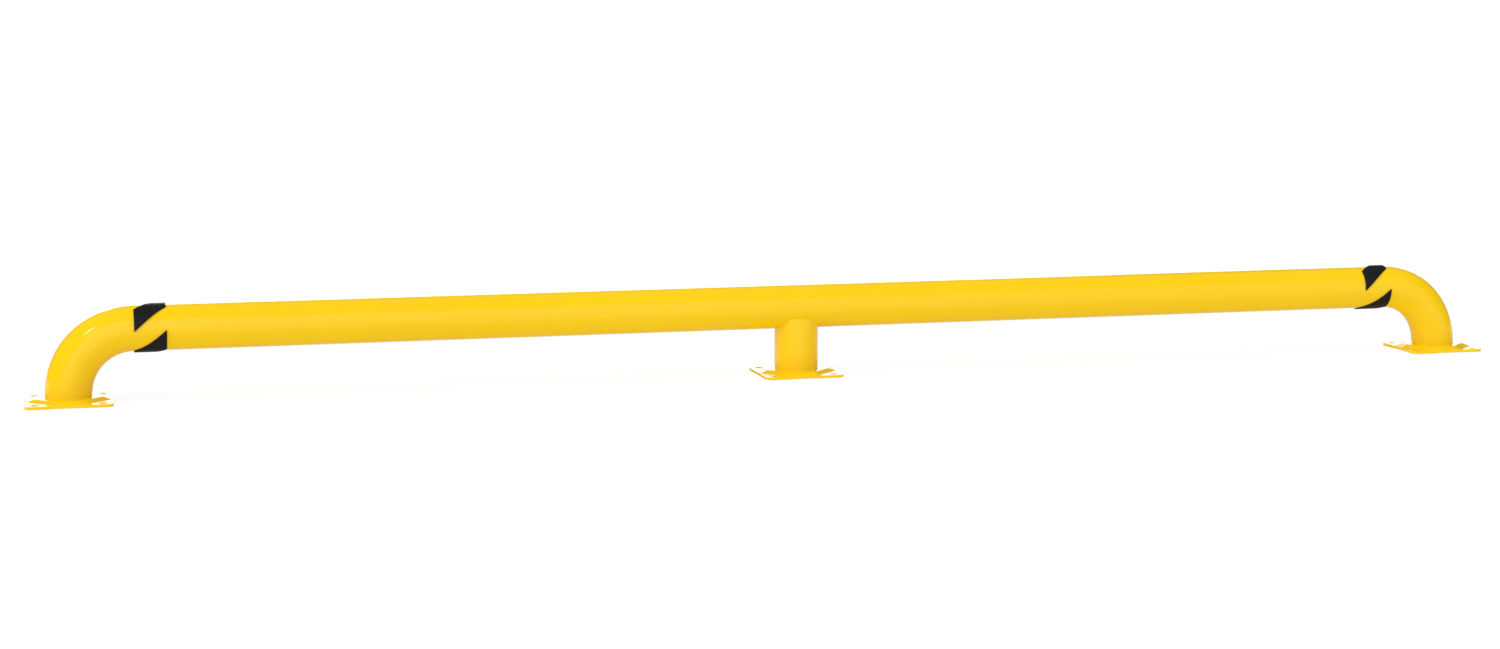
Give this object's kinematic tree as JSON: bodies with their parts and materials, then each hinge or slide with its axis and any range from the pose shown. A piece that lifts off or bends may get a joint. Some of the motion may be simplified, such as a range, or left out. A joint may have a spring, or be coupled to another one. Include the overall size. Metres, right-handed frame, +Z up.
{
  "type": "rack end guard",
  "caption": "Low floor-mounted guard rail for a rack end: a bent steel tube with a welded middle post, drilled base plates and black diagonal strips",
  "frame": {"origin": "on the floor, under the middle of the rail and on the centre post's axis", "axes": "+X along the rail, +Y level across it, +Z up"},
  "size_m": [2.616, 0.127, 0.1595],
  "materials": {
    "yellow_coat": "gloss",
    "black_strip": "satin"
  },
  "bodies": {
    "root": {"centre_base_plate": "yellow_coat", "centre_foot_weld": "yellow_coat", "centre_post": "yellow_coat", "guard_tube": "yellow_coat", "left_base_plate": "yellow_coat", "left_foot_weld": "yellow_coat", "left_strip_back": "black_strip", "left_strip_front": "black_strip", "left_strip_under": "black_strip", "right_base_plate": "yellow_coat", "right_foot_weld": "yellow_coat", "right_strip_back": "black_strip", "right_strip_front": "black_strip", "right_strip_under": "black_strip", "saddle_weld": "yellow_coat"}
  },
  "joints": []
}
